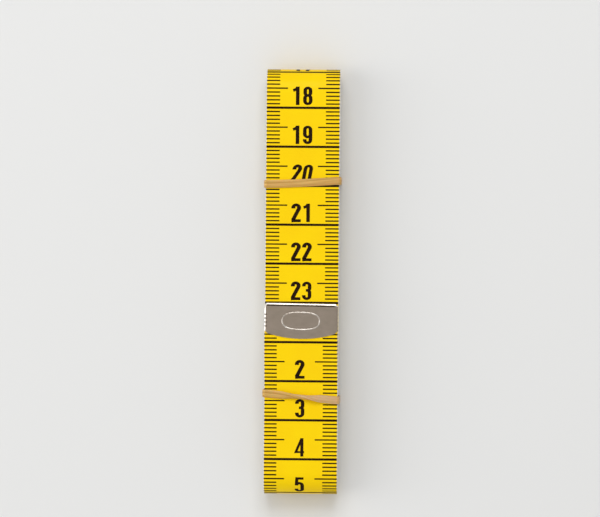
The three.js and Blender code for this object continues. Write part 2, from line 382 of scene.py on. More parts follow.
def on_tape(cloth, across, along, above):
    """The point at a height above a place on the yellow face, where the tape lies in the bundle."""
    y, z, look = tape_frame(along)
    out = TAPE_THICKNESS / 2 + above
    strayed = smooth_step(cloth.drift_from, cloth.drift_from + cloth.drift_wave, along)
    drift = strayed * cloth.drift * math.sin(math.tau * along / cloth.drift_wave)
    loose = 1 - smooth_step(TIP_LENGTH, SEAM, along)
    x = across + drift - loose * cloth.lap_stray
    return x, y + out * math.cos(look), z + out * math.sin(look)


def deselect_all():
    """Leaves edit mode, with nothing selected."""
    if bpy.context.mode != "OBJECT":
        bpy.ops.object.mode_set(mode="OBJECT")
    bpy.ops.object.select_all(action="DESELECT")


def activate(piece):
    """Makes one piece the only one selected, and the active one."""
    deselect_all()
    piece.select_set(True)
    bpy.context.view_layer.objects.active = piece


def link_piece(name, mesh):
    """A piece that shows a mesh."""
    piece = bpy.data.objects.new(name, mesh)
    bpy.context.scene.collection.objects.link(piece)
    return piece


def bridge(mesh, first, second):
    """The faces between two rings of vertices, in the order of the first ring."""
    sides = len(first)
    pairs = [(side, (side + 1) % sides) for side in range(sides)]
    return [mesh.faces.new((first[a], first[b], second[b], second[a])) for a, b in pairs]


def finish_piece(name, mesh):
    """A piece that shows a mesh under work, with its faces turned outward."""
    bmesh.ops.recalc_face_normals(mesh, faces=mesh.faces)
    data = bpy.data.meshes.new(name)
    mesh.to_mesh(data)
    mesh.free()
    return link_piece(name, data)


def apply_transform():
    """Takes the place, the turn and the size of the active piece up into its mesh."""
    bpy.ops.object.transform_apply(location=True, rotation=True, scale=True)


def apply_modifier(piece, kind, **settings):
    """Adds a modifier to a piece and applies it."""
    activate(piece)
    modifier = piece.modifiers.new(kind.title(), kind)
    for name, value in settings.items():
        setattr(modifier, name, value)
    bpy.ops.object.modifier_apply(modifier=modifier.name)


def combine(piece, tool, operation):
    """Joins a tool to a piece, cuts it out, or keeps what both share, and removes the tool."""
    apply_modifier(piece, "BOOLEAN", object=tool, operation=operation, solver="EXACT")
    bpy.data.objects.remove(tool)


def shade_smooth(piece, degrees):
    """Smooth shading, with edges sharper than the angle kept."""
    activate(piece)
    bpy.ops.object.shade_smooth_by_angle(angle=math.radians(degrees))
    deselect_all()


def add_node(tree, kind, inputs=None, **settings):
    """A node with its settings, whose inputs are linked to sockets or set to values."""
    node = tree.nodes.new(kind)
    for name, value in settings.items():
        setattr(node, name, value)
    for name, value in (inputs or {}).items():
        if isinstance(value, bpy.types.NodeSocket):
            tree.links.new(value, node.inputs[name])
        else:
            node.inputs[name].default_value = value
    return node


def calculate(tree, operation, *values):
    """The result of an operation on one or two values."""
    inputs = dict(enumerate(values))
    return add_node(tree, "ShaderNodeMath", inputs, operation=operation).outputs[0]


def blend_colours(tree, part, first, second):
    """A colour between two."""
    sockets = {MIX_SHARE: part, MIX_FIRST: first, MIX_SECOND: second}
    return add_node(tree, "ShaderNodeMix", sockets, data_type="RGBA").outputs[MIX_RESULT]


def new_group(name, inputs, outputs):
    """An empty node group, with its sockets given as name: kind."""
    group = bpy.data.node_groups.new(name, "ShaderNodeTree")
    for label, kind in inputs.items():
        group.interface.new_socket(label, in_out="INPUT", socket_type="NodeSocket" + kind)
    for label, kind in outputs.items():
        group.interface.new_socket(label, in_out="OUTPUT", socket_type="NodeSocket" + kind)
    given = group.nodes.new("NodeGroupInput").outputs
    result = group.nodes.new("NodeGroupOutput").inputs
    return group, given, result


def weave_group():
    """Height of a plain weave, from coordinates in its plane and the spacing of its threads."""
    name = "Plain weave"
    if name in bpy.data.node_groups:
        return bpy.data.node_groups[name]
    group, given, result = new_group(name, {"Vector": "Vector", "Thread": "Float"}, {"Height": "Float"})
    rate = calculate(group, "DIVIDE", math.pi, given["Thread"])
    turned = {0: given["Vector"], "Scale": rate}
    phase = add_node(group, "ShaderNodeVectorMath", turned, operation="SCALE").outputs["Vector"]
    axes = add_node(group, "ShaderNodeSeparateXYZ", {0: phase}).outputs
    warp = calculate(group, "SINE", axes["X"])
    weft = calculate(group, "SINE", axes["Y"])
    group.links.new(calculate(group, "MULTIPLY", warp, weft), result["Height"])
    return group


def mottle_group():
    """Uneven patches: a colour between two, and how far it is towards the second."""
    name = "Mottle"
    if name in bpy.data.node_groups:
        return bpy.data.node_groups[name]
    inputs = {"Vector": "Vector", "Patch": "Float", "First": "Color", "Second": "Color"}
    group, given, result = new_group(name, inputs, {"Color": "Color", "Share": "Float"})
    scale = calculate(group, "DIVIDE", 1.0, given["Patch"])
    grain = {"Vector": given["Vector"], "Scale": scale, "Detail": 3.0}
    noise = add_node(group, "ShaderNodeTexNoise", grain).outputs["Fac"]
    spread = {"Value": noise, "From Min": 0.3, "From Max": 0.7}
    part = add_node(group, "ShaderNodeMapRange", spread).outputs["Result"]
    group.links.new(blend_colours(group, part, given["First"], given["Second"]), result["Color"])
    group.links.new(part, result["Share"])
    return group


def new_material(name, **values):
    """A material with a single surface shader, whose sockets are set to the values."""
    material = bpy.data.materials.new(name)
    material.use_nodes = True
    shader = material.node_tree.nodes["Principled BSDF"]
    for label, value in values.items():
        shader.inputs[label.replace("_", " ")].default_value = value
    return material, material.node_tree, shader.inputs


def object_place(tree):
    """Where a point of the surface lies on its piece."""
    return add_node(tree, "ShaderNodeTexCoord").outputs["Object"]


def drawn_out(tree, vector, scale):
    """Coordinates in which a pattern is drawn out to streaks."""
    return add_node(tree, "ShaderNodeMapping", {"Vector": vector, "Scale": scale}).outputs["Vector"]


def mottle(tree, vector, first, second, patch):
    """The outputs of uneven patches of two colours."""
    inputs = {"Vector": vector, "Patch": patch, "First": (*first, 1), "Second": (*second, 1)}
    return add_node(tree, "ShaderNodeGroup", inputs, node_tree=mottle_group()).outputs


def roughen(tree, surface, part, low, high):
    """A roughness that goes from low to high as a share goes from 0 to 1."""
    spread = {"Value": part, "To Min": low, "To Max": high}
    tree.links.new(add_node(tree, "ShaderNodeMapRange", spread).outputs["Result"], surface["Roughness"])


def emboss(tree, surface, height, strength, distance):
    """Fine relief that follows a height."""
    relief = {"Height": height, "Strength": strength, "Distance": distance}
    tree.links.new(add_node(tree, "ShaderNodeBump", relief).outputs["Normal"], surface["Normal"])


def cloth_material(name, cloth, first, second, roughness):
    """Coated cloth: an even coat in which the weave just shows."""
    material, tree, surface = new_material(name, Specular_IOR_Level=0.1)
    patches = mottle(tree, object_place(tree), first, second, patch=9 * MM)
    tree.links.new(patches["Color"], surface["Base Color"])
    roughen(tree, surface, patches["Share"], low=roughness, high=roughness + 0.12)
    flat = add_node(tree, "ShaderNodeUVMap", uv_map="tape").outputs["UV"]
    threads = {"Vector": flat, "Thread": cloth.thread}
    weave = add_node(tree, "ShaderNodeGroup", threads, node_tree=weave_group()).outputs["Height"]
    emboss(tree, surface, weave, strength=0.2, distance=0.02 * MM)
    return material


def ink_material(scale):
    """Dull printing ink, uneven where it lies thin."""
    material, tree, surface = new_material("printing_ink", Roughness=0.5, Specular_IOR_Level=0.05)
    patches = mottle(tree, object_place(tree), scale.ink, scale.thin_ink, patch=0.8 * MM)
    tree.links.new(patches["Color"], surface["Base Color"])
    return material


def nickel_material(name, first, second, roughness):
    """Nickel plate, finely brushed across the tape."""
    material, tree, surface = new_material(name, Metallic=1.0)
    place = object_place(tree)
    patches = mottle(tree, place, first, second, patch=2.5 * MM)
    tree.links.new(patches["Color"], surface["Base Color"])
    across = drawn_out(tree, place, scale=(0.06, 1, 1))
    brushed = mottle(tree, across, first, second, patch=0.12 * MM)["Share"]
    roughen(tree, surface, brushed, low=roughness, high=roughness + 0.14)
    emboss(tree, surface, brushed, strength=0.12, distance=0.01 * MM)
    return material


def rubber_material(band, girth):
    """Natural rubber, streaked along its length, with a paler bloom on the inner face."""
    glow = {"Subsurface_Weight": 0.2, "Subsurface_Scale": 0.3 * MM}
    material, tree, surface = new_material("natural_rubber", Specular_IOR_Level=0.3, **glow)
    flat = add_node(tree, "ShaderNodeUVMap", uv_map="band").outputs["UV"]
    along = drawn_out(tree, flat, scale=(1, 0.03, 1))
    outer = mottle(tree, along, band.tan, band.brown, patch=0.5 * MM)
    inner = mottle(tree, along, band.cream, band.pale, patch=0.5 * MM)
    around = add_node(tree, "ShaderNodeSeparateXYZ", {0: flat}).outputs["X"]
    inside = calculate(tree, "GREATER_THAN", around, girth / 2)
    tree.links.new(blend_colours(tree, inside, outer["Color"], inner["Color"]), surface["Base Color"])
    roughen(tree, surface, outer["Share"], low=0.42, high=0.58)
    emboss(tree, surface, outer["Share"], strength=0.25, distance=0.03 * MM)
    return material


def arc(centre_x, centre_y, radius, first, last):
    """Points on an arc, between two angles in degrees."""
    steps = max(round(abs(last - first) / ARC_STEP), 2)
    turns = [math.radians(first + (last - first) * step / steps) for step in range(steps + 1)]
    return [(centre_x + radius * math.cos(turn), centre_y + radius * math.sin(turn)) for turn in turns]


def digit_strokes(digit, half, edge, low, high):
    """Middle lines of a digit's strokes, as (points, is it closed, weight).

    The upright strokes stand half from the middle, the level ones lie at low and high,
    and edge is half the width.
    """
    waist = low + 0.53 * (high - low)
    bowl = low + half
    crown = high - half
    quarter = 0.8 * half
    tail = 0.25 * half
    upper_loop = arc(0, crown, half, 0, 180)
    lower_loop = arc(0, bowl, half, 180, 360)
    if digit == 0:
        return [(upper_loop + lower_loop, True, 1)]
    if digit == 1:
        stem = 0.32 * half
        bend = (stem - 0.75 * half, crown + 0.42 * half)
        flag = [(stem - 1.6 * half, crown + 0.08 * half), bend, (stem, high)]
        return [([(stem, 0), (stem, high + low)], False, 1), (flag, False, 1)]
    if digit == 2:
        hook = [(-half, crown - tail)]
        foot = [(-half, low + 0.45 * half), (-half, low), (edge, low)]
        return [(hook + arc(0, crown, half, 180, -25) + foot, False, 1.1)]
    if digit == 3:
        inner = (-0.3 * half, waist)
        upper = [(-half, crown - 0.2 * half)] + arc(0, crown, half, 180, 0)
        upper += arc(half - quarter, waist + quarter, quarter, 0, -90) + [inner]
        lower = [inner] + arc(half - quarter, waist - quarter, quarter, 90, 0)
        lower += arc(0, bowl, half, 0, -180) + [(-half, bowl + tail)]
        return [(upper, False, 1), (lower, False, 1)]
    if digit == 4:
        stem = 0.84 * half
        bar = low + 0.2 * (high - low)
        slope = [(stem - 0.22 * half, high), (-1.25 * half, bar), (edge, bar)]
        return [([(stem, 0), (stem, high + low)], False, 0.86), (slope, False, 0.72)]
    if digit == 5:
        shoulder = waist + 0.15 * (high - low)
        flag = [(edge - 0.15 * half, high), (-0.85 * half, high), (-half, waist - 0.1 * half)]
        bowls = arc(0, shoulder - half, half, 155, 0) + arc(0, bowl, half, 0, -180)
        return [(flag, False, 0.9), (bowls + [(-half, bowl + tail)], False, 1)]
    if digit == 6:
        eye = low + 0.63 * (high - low) - half
        hook = [(-half, bowl), *upper_loop[::-1], (half, crown - tail)]
        return [(arc(0, eye, half, 0, 180) + lower_loop, True, 1), (hook, False, 1)]
    if digit == 7:
        return [([(-edge, high), (half, high), (half, high - 0.5 * half), (-0.45 * half, 0)], False, 1)]
    if digit == 8:
        small = 0.93 * half
        upper = arc(0, high - small, small, 0, 180) + arc(0, waist + small, small, 180, 360)
        lower = arc(0, waist - half, half, 0, 180) + lower_loop
        return [(upper, True, 1), (lower, True, 1)]
    turned = digit_strokes(6, half, edge, low, high)
    return [([(-x, low + high - y) for x, y in points], closed, weight) for points, closed, weight in turned]


def evened(points, closed, longest):
    """The points of a line, with more put in where two are further apart than the longest step."""
    ends = points[1:] + points[:1] if closed else points[1:]
    result = []
    for (x0, y0), (x1, y1) in zip(points, ends):
        steps = max(math.ceil(math.dist((x0, y0), (x1, y1)) / longest), 1)
        result += [(x0 + (x1 - x0) * step / steps, y0 + (y1 - y0) * step / steps) for step in range(steps)]
    return result if closed else result + [points[-1]]


def distinct(points, closed):
    """The points of a line without any that repeat the one before."""
    kept = points[:1]
    for before, point in zip(points, points[1:]):
        if math.dist(before, point) > SAME_POINT:
            kept.append(point)
    if closed and math.dist(kept[0], kept[-1]) < SAME_POINT:
        kept.pop()
    return kept


def ribbon(name, points, closed, width, thin):
    """A flat closed ribbon, from height 0 to 1, along a line in its plane, thinner where that is level."""
    line = [Vector(point) for point in evened(distinct(points, closed), closed, STROKE_STEP)]
    last = len(line) - 1
    sides = []
    for index, point in enumerate(line):
        before = (point - line[index - 1]).normalized() if closed or index > 0 else None
        after = (line[(index + 1) % len(line)] - point).normalized() if closed or index < last else None
        before = before or after
        after = after or before
        middle = (before + after).normalized()
        breadth = width * (1 - (1 - thin) * middle.x ** 2)
        aside = Vector((-middle.y, middle.x)) * (breadth / 2 / max(middle.dot(after), MITRE_LIMIT))
        sides.append((point + aside, point - aside))
    mesh = bmesh.new()
    rows = []
    for left, right in sides:
        corners = ((left, 1), (right, 1), (right, 0), (left, 0))
        rows.append([mesh.verts.new((corner.x, corner.y, height)) for corner, height in corners])
    pairs = zip(rows, rows[1:] + rows[:1]) if closed else zip(rows, rows[1:])
    for first, second in pairs:
        bridge(mesh, first, second)
    if not closed:
        mesh.faces.new(reversed(rows[0]))
        mesh.faces.new(rows[-1])
    return finish_piece(name, mesh)


def digit_shape(scale, digit):
    """Points and faces of one digit in millimetres, with its foot at 0 and its middle at 0."""
    stroke = scale.stroke / MM
    edge = scale.digit_width / MM / 2
    low = scale.thin * stroke / 2
    lines = digit_strokes(digit, edge - stroke / 2, edge, low, scale.digit_height / MM - low)
    shape, *others = [
        ribbon(f"digit_{digit}", points, closed, stroke * weight, scale.thin)
        for points, closed, weight in lines
    ]
    for other in others:
        combine(shape, other, "UNION")
    points = [tuple(vertex.co) for vertex in shape.data.vertices]
    faces = [tuple(face.vertices) for face in shape.data.polygons]
    bpy.data.objects.remove(shape)
    return points, faces


def bar_shape(left, right, thickness):
    """Points and faces of a printed bar in millimetres, across the tape."""
    half = thickness / 2
    corners = ((left, -half), (right, -half), (right, half), (left, half))
    points = [(x / MM, y / MM, height) for height in (0, 1) for x, y in corners]
    walls = [(side, (side + 1) % 4, (side + 1) % 4 + 4, side + 4) for side in range(4)]
    return points, [(3, 2, 1, 0), (4, 5, 6, 7), *walls]


class Scale:
    """Marks of the scale, gathered where they lie flat and then carried onto the tape."""

    def __init__(self, settings, on_back):
        self.cloth = settings.cloth
        self.settings = settings.scale
        self.on_back = on_back
        self.points = []
        self.faces = []

    def put(self, shape, across, along, slant=0, narrow=1):
        """Prints a shape at a place on the tape, with its top towards the start of the scale."""
        ink = self.settings
        base = len(self.points)
        points, faces = shape
        stray = -ink.wander * math.cos(math.tau * along / ink.wander_wave)
        for x, y, height in points:
            u = across + stray + (x * narrow + y * math.tan(slant)) * MM
            u = min(max(u, ink.margin - TAPE_WIDTH / 2), TAPE_WIDTH / 2 - ink.margin)
            above = height * (ink.film + ink.sink) - ink.sink
            if self.on_back:
                place = (u, TAPE_LENGTH - along + y * MM, -TAPE_THICKNESS - above)
            else:
                place = (u, (along - y * MM) * (1 + ink.stretch), above)
            self.points.append(on_tape(self.cloth, *place))
        self.faces += [tuple(index + base for index in face) for face in faces]

    def number(self, value, digits):
        """Prints a number above its line."""
        ink = self.settings
        figures = [int(figure) for figure in str(value)]
        narrow = ink.crowding if len(figures) > 2 else 1
        pitch = ink.digit_pitch * narrow
        slant = ink.decade_slant if value % 10 == 0 else 0
        lean = ink.digit_height * math.tan(slant) / 2
        for place, figure in enumerate(figures):
            across = place * pitch - (len(figures) - 1) * (pitch / 2 + ink.offset) - lean
            self.put(digits[figure], across, value * CENTIMETRE - ink.lift, slant, narrow)

    def print_between(self, first, last, digits):
        """Prints the scale between two places on it."""
        ink = self.settings
        edge = TAPE_WIDTH / 2 + ink.wander
        line = bar_shape(-edge, edge, ink.line)
        ticks = {}
        for name, length in (("short", ink.short_tick), ("long", ink.long_tick)):
            inner = TAPE_WIDTH / 2 - length
            ticks[name] = (bar_shape(-edge, -inner, ink.tick), bar_shape(inner, edge, ink.tick))
        for millimetre in range(math.ceil(first / MM), math.ceil(last / MM)):
            along = millimetre * MM
            if millimetre % 10 == 0:
                self.put(line, 0, along)
                if along - ink.digit_height > first:
                    self.number(millimetre // 10, digits)
            else:
                for tick in ticks["long" if millimetre % 5 == 0 else "short"]:
                    self.put(tick, 0, along)

    def piece(self, name, material):
        """The marks as one piece of ink."""
        data = bpy.data.meshes.new(name)
        data.from_pydata(self.points, [], self.faces)
        data.materials.append(material)
        piece = link_piece(name, data)
        shade_smooth(piece, CLOTH_SMOOTH)
        return piece


class TAPE_OT_print(bpy.types.Operator):
    """Prints the scale on the yellow face, and the opposite scale on the back of the free end"""

    bl_idname = "tape_measure.print"
    bl_label = "Printed scale"

    def execute(self, context):
        settings = context.scene.tape_measure
        ink = ink_material(settings.scale)
        digits = [digit_shape(settings.scale, digit) for digit in range(10)]
        mouth = TIP_LENGTH - settings.tip.bow

        winding = Scale(settings, on_back=False)
        winding.print_between(SEAM, settings.scale.printed, digits)
        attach(winding.piece("winding_print", ink), "bundle")

        free_end = Scale(settings, on_back=False)
        free_end.print_between(mouth, SEAM, digits)
        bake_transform(free_end.piece("free_end_print", ink))

        back = Scale(settings, on_back=True)
        back.print_between(TAPE_LENGTH - SEAM, TAPE_LENGTH - mouth, digits)
        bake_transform(back.piece("free_end_back_print", ink))
        return {"FINISHED"}


class TAPE_OT_cloth(bpy.types.Operator):
    """Lays the coated cloth in its turns, with its free end as a piece of its own"""

    bl_idname = "tape_measure.cloth"
    bl_label = "Coated cloth"

    def rows(self, cloth, first, last):
        """Places along the tape for the rows of vertices, closer in the folds."""
        places = []
        for (start, is_fold, _), end in zip(STRETCHES, [*STRETCH_STARTS[1:], TAPE_LENGTH]):
            steps = cloth.fold_rows if is_fold else max(round((end - start) / cloth.row), 1)
            places += [start + (end - start) * step / steps for step in range(steps)]
        inside = sorted(place for place in places if first < place < last)
        return [first, *inside, last]

    def half_width(self, cloth, along):
        """Half the width of the cloth, which is drawn in where a tip grips it."""
        from_end = min(along, TAPE_LENGTH - along)
        free = smooth_step(cloth.tuck_length, cloth.tuck_length + cloth.tuck, from_end)
        return TAPE_WIDTH / 2 - cloth.tuck * (1 - free)

    def lay(self, name, cloth, places, materials):
        """A closed strip of cloth with a row of vertices at each place."""
        mesh = bmesh.new()
        flat = mesh.loops.layers.uv.new("tape")
        under = -TAPE_THICKNESS
        edge = cloth.edge
        rows = []
        coordinates = {}
        for along in places:
            half = self.half_width(cloth, along)
            right = [(half - edge, 0), (half, -edge), (half, under + edge), (half - edge, under)]
            section = right + [(-across, above) for across, above in reversed(right)]
            row = [mesh.verts.new(on_tape(cloth, across, along, above)) for across, above in section]
            coordinates.update({vertex: (across, along) for vertex, (across, _) in zip(row, section)})
            rows.append(row)
        for first, second in zip(rows, rows[1:]):
            *others, numbered = bridge(mesh, first, second)
            numbered.material_index = YELLOW
            for face in others:
                face.material_index = WHITE
        for cap in (rows[0], rows[-1]):
            mesh.faces.new(cap).material_index = WHITE
        for face in mesh.faces:
            for corner in face.loops:
                corner[flat].uv = coordinates[corner.vert]
        piece = finish_piece(name, mesh)
        for material in materials:
            piece.data.materials.append(material)
        shade_smooth(piece, CLOTH_SMOOTH)
        return piece

    def execute(self, context):
        cloth = context.scene.tape_measure.cloth
        coats = [
            cloth_material("yellow_coating", cloth, cloth.yellow, cloth.deep_yellow, roughness=0.4),
            cloth_material("white_coating", cloth, cloth.white, cloth.dull_white, roughness=0.5),
        ]
        winding = self.lay("winding_cloth", cloth, self.rows(cloth, SEAM, TAPE_LENGTH - cloth.hem), coats)
        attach(winding, "bundle")
        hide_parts("tape_winding")

        steps = math.ceil((SEAM - cloth.hem) / cloth.bend_row)
        places = [cloth.hem + (SEAM - cloth.hem) * step / steps for step in range(steps + 1)]
        free_end = self.lay("free_end_cloth", cloth, places, coats)
        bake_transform(free_end)
        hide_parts("tape_free_end")
        return {"FINISHED"}


class TAPE_OT_tips(bpy.types.Operator):
    """Folds a metal plate over each end of the tape"""

    bl_idname = "tape_measure.tips"
    bl_label = "Metal tips"

    def block(self, low, high):
        """A box between two corners in millimetres."""
        deselect_all()
        middle = [(a + b) / 2 for a, b in zip(low, high)]
        sides = [b - a for a, b in zip(low, high)]
        bpy.ops.mesh.primitive_cube_add(size=1, location=middle, scale=sides)
        apply_transform()
        return bpy.context.object

    def select_edges(self, plate, wanted):
        """Selects the edges whose middle and direction pass a test."""
        bpy.ops.mesh.select_mode(type="EDGE")
        bpy.ops.mesh.select_all(action="DESELECT")
        mesh = bmesh.from_edit_mesh(plate.data)
        for edge in mesh.edges:
            first, second = (vertex.co for vertex in edge.verts)
            edge.select_set(wanted((first + second) / 2, (second - first).normalized()))
        bmesh.update_edit_mesh(plate.data)

    def cut_corners(self, plate, y, way):
        """Cuts both corners off past a place on a plate's sides, towards +y or -y, and stays in edit mode."""
        activate(plate)
        bpy.ops.object.mode_set(mode="EDIT")
        for sign in (-1, 1):
            bpy.ops.mesh.select_all(action="SELECT")
            bpy.ops.mesh.bisect(
                plane_co=(sign * TIP_HALF_WIDTH / MM, y, 0),
                plane_no=(sign, way, 0),
                use_fill=True,
                clear_outer=True,
            )

    def fold_plate(self, tip):
        """The plate as a solid with rounded folds, in millimetres, with its end at y = 0."""
        half_x = TIP_HALF_WIDTH / MM
        half_z = TIP_HALF_THICKNESS / MM
        length = TIP_LENGTH / MM
        stretch = tip.fold_width / tip.fold_height
        high = half_z * stretch
        plate = self.block((-half_x, -length - 2 * SPARE, -high), (half_x, 0, high))
        self.cut_corners(plate, -tip.corner / MM, 1)

        def at_fold(middle, along):
            level = abs(along.z) < NEAR and abs(abs(middle.z) - high) < NEAR
            return level and middle.y > -length - SPARE

        self.select_edges(plate, at_fold)
        bpy.ops.mesh.bevel(offset=tip.fold_width / MM, segments=10, profile=0.5, affect="EDGES")
        bpy.ops.mesh.select_all(action="SELECT")
        bpy.ops.transform.resize(value=(1, 1, 1 / stretch), center_override=(0, 0, 0))
        bpy.ops.object.mode_set(mode="OBJECT")
        return plate

    def cut_mouth(self, plate, tip):
        """Bows the mouth, and hollows the plate into a sheet folded over on three sides."""
        half_x = TIP_HALF_WIDTH / MM
        half_z = TIP_HALF_THICKNESS / MM
        length = TIP_LENGTH / MM
        bow = tip.bow / MM
        wall = tip.wall / MM
        radius = (half_x ** 2 + bow ** 2) / (2 * bow)
        deselect_all()
        bpy.ops.mesh.primitive_cylinder_add(
            vertices=256, radius=radius, depth=4 * SPARE, location=(0, radius - length, 0)
        )
        combine(plate, bpy.context.object, "INTERSECT")
        self.cut_corners(plate, bow - length + tip.clip / MM, -1)
        past = length + SPARE
        slot = self.block(
            (-half_x + wall, -past, -half_z + wall), (half_x - wall, -tip.hem / MM, half_z - wall)
        )
        combine(plate, slot, "DIFFERENCE")
        reach = tip.flange / MM
        window = self.block((-half_x + reach, -past, -half_z - SPARE), (half_x - reach, -reach, 0))
        combine(plate, window, "DIFFERENCE")

    def finish(self, plate, tip, plating_and_painted_light):
        """Breaks the cut edges, and paints a highlight on the folds at the end and on the left, which face
        the lamps.
        """
        sharp = math.radians(CUT_EDGE)
        burr = tip.burr / MM
        apply_modifier(plate, "BEVEL", width=burr, segments=2, limit_method="ANGLE", angle_limit=sharp)
        # Painted highlight on the whole plate first; the level faces and the right fold, turned from the
        # lamps, go back to the satin plate
        self.paint(plate, plating_and_painted_light, PAINTED_FOLD_HIGHLIGHT)
        for face in plate.data.polygons:
            level = abs(face.normal.z) > FLAT
            right = face.normal.x > RIGHTWARD and face.normal.y < ENDWARD
            if level or right:
                face.material_index = SATIN

    def rod(self, radius, depth, point, tilt, reach):
        """A round tool across the plate, tilted with the surface that it enters to a depth at a point."""
        clear = (radius - depth) / MM
        x, y, z = point
        deselect_all()
        bpy.ops.mesh.primitive_cylinder_add(
            vertices=32,
            radius=radius / MM,
            depth=2 * reach,
            rotation=(0, math.pi / 2 + tilt, 0),
            location=(x + clear * math.sin(tilt), y, z + clear * math.cos(tilt)),
        )
        apply_transform()
        return bpy.context.object

    def press(self, plate, tool, plating_and_painted_light):
        """Presses a tool into the plate, and paints shade on the faces that it leaves."""
        self.paint(tool, plating_and_painted_light, PAINTED_CREASE_SHADE)
        combine(plate, tool, "DIFFERENCE")

    def stamp(self, plate, tip, plating_and_painted_light):
        """Presses a crease beside the end fold and crimp marks into one side, with painted shade in both, and
        raises an oval bead with a painted highlight.
        """
        half_x = TIP_HALF_WIDTH / MM
        surface = TIP_HALF_THICKNESS / MM
        fold = tip.fold_width / MM
        beside = (0, -tip.crease_start / MM, surface)
        crease = self.rod(tip.crease, tip.crease_depth, beside, 0, half_x - fold)
        self.press(plate, crease, plating_and_painted_light)
        turn = tip.crimp_turn
        shoulder_x = (1 - math.sin(turn)) * fold - half_x
        shoulder_z = surface - (1 - math.cos(turn)) * tip.fold_height / MM
        shoulder = (shoulder_x, -tip.crimp_start / MM, shoulder_z)
        slope = math.atan(tip.fold_height / tip.fold_width * math.tan(turn))
        marks = self.rod(tip.crimp, tip.crimp_depth, shoulder, -slope, fold)
        apply_modifier(
            marks,
            "ARRAY",
            count=tip.crimps,
            use_relative_offset=False,
            use_constant_offset=True,
            constant_offset_displace=(0, -tip.crimp_pitch / MM, 0),
        )
        self.press(plate, marks, plating_and_painted_light)

        bead = tip.bead / MM
        deselect_all()
        bpy.ops.curve.primitive_bezier_circle_add(
            radius=tip.bead_length / MM / 2,
            location=(0, -TIP_LENGTH / MM / 2, surface + tip.bead_proud / MM - bead),
            enter_editmode=True,
        )
        bpy.ops.transform.resize(value=(1, tip.bead_width / tip.bead_length, 1))
        bpy.ops.object.mode_set(mode="OBJECT")
        oval = bpy.context.object
        oval.data.bevel_depth = bead
        oval.data.bevel_resolution = 8
        oval.data.resolution_u = 24
        bpy.ops.object.convert(target="MESH")
        apply_transform()
        # The bead gets a painted highlight: brighter plating that stands in for its glint
        self.paint(oval, plating_and_painted_light, PAINTED_BEAD_HIGHLIGHT)
        combine(plate, oval, "UNION")

    def paint(self, piece, plating_and_painted_light, finish):
        """Gives all of a piece one material: the satin plate, or one of the painted highlights and shades."""
        for material in plating_and_painted_light:
            piece.data.materials.append(material)
        for face in piece.data.polygons:
            face.material_index = finish

    def place(self, plate, tip, name, node, body, end, turn):
        """A copy of the plate on one end of the tape, a little askew, in metres."""
        piece = link_piece(name, plate.data.copy())
        middle = Matrix.Translation((0, -TIP_LENGTH / 2, 0))
        askew = middle @ Matrix.Rotation(-tip.skew, 4, "Z") @ middle.inverted()
        at_end = Matrix.Translation(end) @ Matrix.Rotation(turn, 4, "Z")
        piece.matrix_world = at_end @ askew @ Matrix.Scale(MM, 4)
        activate(piece)
        apply_transform()
        shade_smooth(piece, TIP_SMOOTH)
        apply_modifier(piece, "WEIGHTED_NORMAL", keep_sharp=True)
        deselect_all()
        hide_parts(node)
        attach(piece, body)

    def execute(self, context):
        tip = context.scene.tape_measure.tip
        cloth = context.scene.tape_measure.cloth
        # The satin plate, then painted highlight for the folds, painted shade for the crease and crimps, and
        # painted highlight for the bead
        plating_and_painted_light = [
            nickel_material("satin_nickel", tip.nickel, tip.dull_nickel, roughness=0.28),
            nickel_material("fold_highlight_nickel", tip.bright_nickel, tip.worn_nickel, roughness=0.16),
            nickel_material("crease_shade_nickel", tip.tarnish, tip.deep_tarnish, roughness=0.45),
            nickel_material("bead_highlight_nickel", tip.worn_nickel, tip.nickel, roughness=0.22),
        ]
        plate = self.fold_plate(tip)
        self.cut_mouth(plate, tip)
        self.finish(plate, tip, plating_and_painted_light)
        self.stamp(plate, tip, plating_and_painted_light)
        grip = TIP_LENGTH / 2
        start = (on_tape(cloth, 0, grip, 0)[0], START_Y, LAP_Z)
        end = (on_tape(cloth, 0, TAPE_LENGTH - grip, 0)[0], END_Y, INNER_Z)
        self.place(plate, tip, "start_tip_plate", "start_tip", "free_end", start, 0)
        self.place(plate, tip, "end_tip_plate", "end_tip", "bundle", end, math.pi)
        bpy.data.objects.remove(plate)
        return {"FINISHED"}


